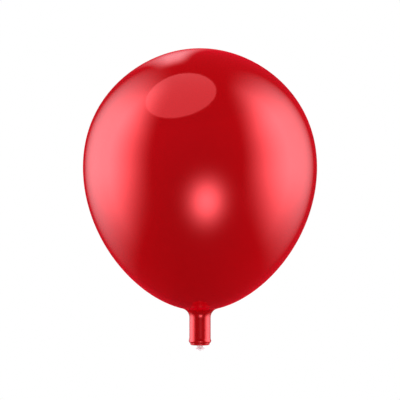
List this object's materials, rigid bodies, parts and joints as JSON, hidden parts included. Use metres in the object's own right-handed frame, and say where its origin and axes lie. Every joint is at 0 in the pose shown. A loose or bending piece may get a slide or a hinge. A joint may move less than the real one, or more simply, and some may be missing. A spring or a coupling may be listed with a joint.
{
  "type": "latex balloon",
  "caption": "Blown-up round party balloon with a straight neck and rolled rim, closed by a rubber stopper that carries a small spring valve.",
  "frame": {"origin": "on the balloon's axis, halfway up the straight neck, where the neck is held or tied", "axes": "+Z along the axis, from the neck up to the crown; the part is round about Z, so X and Y are free"},
  "size_m": [0.28, 0.28, 0.3617],
  "materials": {
    "red_latex": "gloss",
    "red_rubber": "gloss",
    "clear_plastic": "satin",
    "white_plastic": "satin",
    "seal_rubber": "matte",
    "spring_steel": "satin"
  },
  "bodies": {
    "balloon": {"balloon_skin": "red_latex"},
    "stopper": {"neck_stopper": "red_rubber", "valve_body": "clear_plastic", "valve_cage": "clear_plastic", "valve_spring": "spring_steel"},
    "poppet": {"valve_poppet": "white_plastic", "valve_seal": "seal_rubber"}
  },
  "joints": [
    {"name": "stopper_pull", "type": "slide", "parent": "balloon", "child": "stopper", "axis": [0, 0, -1], "range_m": [0, 0.022]},
    {"name": "valve_push", "type": "slide", "parent": "stopper", "child": "poppet", "axis": [0, 0, 1], "range_m": [0, 0.0025], "stiffness_N_per_m": 60, "springref_m": -0.005, "deforming": ["valve_spring"]}
  ]
}
